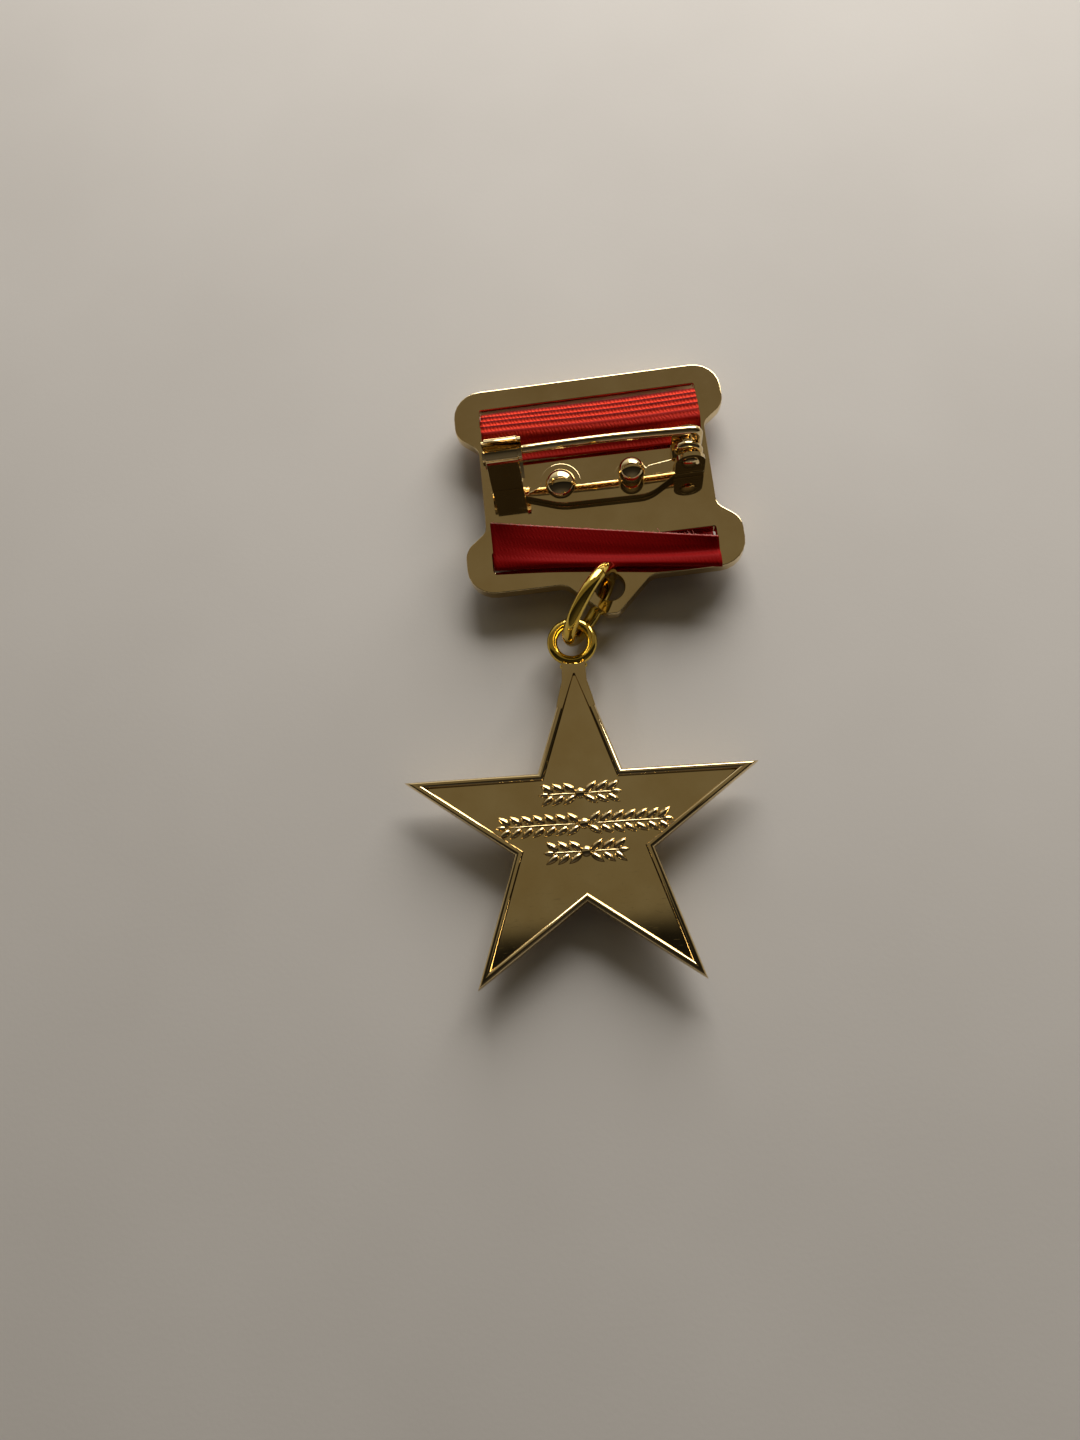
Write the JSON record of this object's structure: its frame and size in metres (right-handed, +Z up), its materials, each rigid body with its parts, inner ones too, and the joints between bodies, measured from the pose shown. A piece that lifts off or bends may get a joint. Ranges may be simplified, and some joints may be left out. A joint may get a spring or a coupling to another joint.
{
  "type": "star medal with suspension plate and safety pin",
  "caption": "Five-pointed star medal hung by a jump ring from a ribbon plate, with a hinged safety pin and a rolled catch on the plate's back.",
  "frame": {"origin": "centre of the bounding box's footprint, on the surface that the medal lies on, face down", "axes": "+Z up, out of the pin side; +Y from the star towards the plate's top edge; +X along the plate, towards the pin's hinge"},
  "size_m": [0.0324, 0.0566, 0.0088],
  "materials": {
    "polished_gold_plate": "mirror-polished thin gold plate over a cast or stamped alloy, finely hand-marked",
    "yellow_gold_plate": "bright yellow gold-plated wire",
    "red_grosgrain": "ribbed satin-weave ribbon, cut ends left raw",
    "clear_glue": "dried clear contact glue"
  },
  "bodies": {
    "plate": {"suspension_plate": "polished_gold_plate", "ribbon": "red_grosgrain", "ribbon_glue_top": "clear_glue", "ribbon_glue_bottom": "clear_glue", "pin_bar": "polished_gold_plate", "catch_housing": "polished_gold_plate", "bar_stud_left": "polished_gold_plate", "bar_stud_right": "polished_gold_plate", "hinge_rivet": "polished_gold_plate"},
    "needle": {"pin_needle": "polished_gold_plate"},
    "sleeve": {"catch_sleeve": "polished_gold_plate"},
    "ring": {"jump_ring": "yellow_gold_plate"},
    "star": {"star_body": "polished_gold_plate", "star_eyelet": "yellow_gold_plate"}
  },
  "joints": [
    {"name": "needle_hinge", "type": "hinge", "parent": "plate", "child": "needle", "pos_m": [0.01204, 0.01782, 0.00535], "axis": [0, 1, 0], "range_deg": [0, 100]},
    {"name": "catch_turn", "type": "hinge", "parent": "plate", "child": "sleeve", "pos_m": [-0.00466, 0.01877, 0.0077], "axis": [-1, 0, 0], "range_deg": [0, 100]},
    {"name": "ring_swing", "type": "hinge", "parent": "plate", "child": "ring", "pos_m": [0.00354, 0.00672, 0.0029], "axis": [0, 0, 1], "range_deg": [-20, 70]},
    {"name": "star_lift", "type": "hinge", "parent": "ring", "child": "star", "pos_m": [0.00157, 0.0047, 0.00415], "axis": [-0.7986, 0.6018, 0], "range_deg": [-15, 90]}
  ]
}
